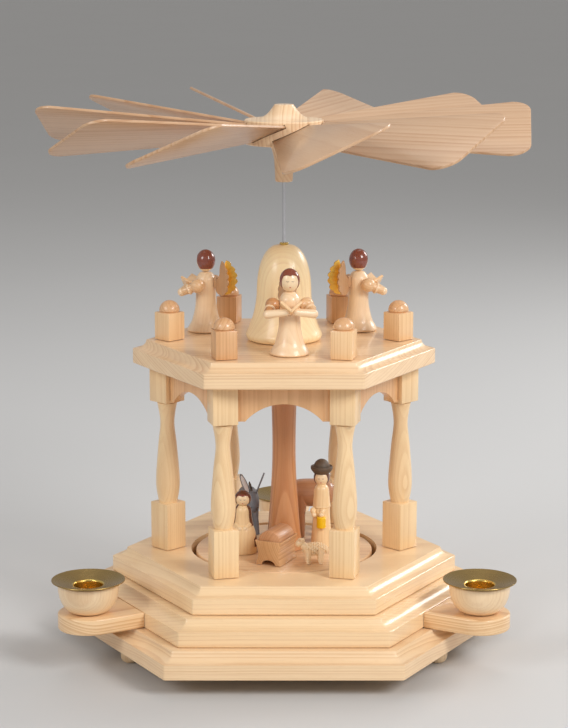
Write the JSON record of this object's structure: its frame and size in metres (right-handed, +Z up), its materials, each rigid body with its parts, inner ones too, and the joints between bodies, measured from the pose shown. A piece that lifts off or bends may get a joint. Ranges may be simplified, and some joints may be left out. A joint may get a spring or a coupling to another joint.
{
  "type": "candle carousel",
  "caption": "One-tier candle carousel: a hexagonal wooden stage whose turntable and bladed fan turn on a steel shaft, driven by the warm air of candles on side arms.",
  "frame": {"origin": "on the shaft's axis, in the flat underside of the base board; the feet reach 11 mm below it", "axes": "+Z up along the shaft, -Y towards the front, where a flat side of the base and one angel face the viewer"},
  "size_m": [0.294, 0.3008, 0.3299],
  "materials": {
    "board_wood": "clear satin lacquer on pale softwood, straight grain",
    "arm_wood": "clear satin lacquer, slightly redder than the boards",
    "bowl_wood": "turned, clear satin lacquer",
    "dish_brass": "polished sheet, lightly spun",
    "pillar_wood": "turned, clear satin lacquer",
    "apron_wood": "clear satin lacquer",
    "post_wood": "clear satin lacquer, half-ball a little darker",
    "bell_wood": "turned from flat-sawn wood, clear satin lacquer",
    "bearing_brass": "turned",
    "figure_wood": "turned pale wood, clear lacquer, painted hair and details",
    "wing_gold": "gold paint inside, bare brown wood outside",
    "shaft_steel": "bright drawn wire",
    "turntable_wood": "clear satin lacquer",
    "trunk_wood": "turned, stained darker, satin",
    "crib_wood": "darker wood, satin",
    "lamb_wood": "pale curled shavings on turned wood",
    "ox_paint": "brown stained wood, satin",
    "donkey_paint": "grey painted wood, satin",
    "hub_wood": "turned, clear satin lacquer",
    "blade_wood": "thin pale slats, clear satin lacquer"
  },
  "bodies": {
    "stand": {"base_board": "board_wood", "middle_board": "board_wood", "upper_board": "board_wood", "deck": "board_wood", "candle_arm_1": "arm_wood", "candle_arm_2": "arm_wood", "candle_arm_3": "arm_wood", "candle_bowl_1": "bowl_wood", "candle_bowl_2": "bowl_wood", "candle_bowl_3": "bowl_wood", "candle_dish_1": "dish_brass", "candle_dish_2": "dish_brass", "candle_dish_3": "dish_brass", "pillar_1": "pillar_wood", "pillar_2": "pillar_wood", "pillar_3": "pillar_wood", "pillar_4": "pillar_wood", "pillar_5": "pillar_wood", "pillar_6": "pillar_wood", "apron_1": "apron_wood", "apron_2": "apron_wood", "apron_3": "apron_wood", "apron_4": "apron_wood", "apron_5": "apron_wood", "apron_6": "apron_wood", "post_1": "post_wood", "post_2": "post_wood", "post_3": "post_wood", "post_4": "post_wood", "post_5": "post_wood", "post_6": "post_wood", "bell": "bell_wood", "bell_bush": "bearing_brass", "bearing_cup": "bearing_brass", "angel_1": "figure_wood", "angel_2": "figure_wood", "angel_3": "figure_wood", "angel_wings_1": "wing_gold", "angel_wings_2": "wing_gold", "angel_wings_3": "wing_gold"},
    "rotor": {"shaft": "shaft_steel", "turntable": "turntable_wood", "trunk": "trunk_wood", "kneeling_figure": "figure_wood", "standing_figure": "figure_wood", "crib": "crib_wood", "lamb": "lamb_wood", "ox": "ox_paint", "donkey": "donkey_paint"},
    "fan": {"hub": "hub_wood", "blade_1": "blade_wood", "blade_2": "blade_wood", "blade_3": "blade_wood", "blade_4": "blade_wood", "blade_5": "blade_wood", "blade_6": "blade_wood", "blade_7": "blade_wood", "blade_8": "blade_wood", "blade_9": "blade_wood", "blade_10": "blade_wood"}
  },
  "joints": [
    {"name": "turntable_spin", "type": "hinge", "parent": "stand", "child": "rotor", "pos_m": [0, 0, 0.0264], "axis": [0, 0, 1], "continuous": true},
    {"name": "fan_lift", "type": "slide", "parent": "rotor", "child": "fan", "axis": [0, 0, 1], "range_m": [0, 0.03]}
  ]
}
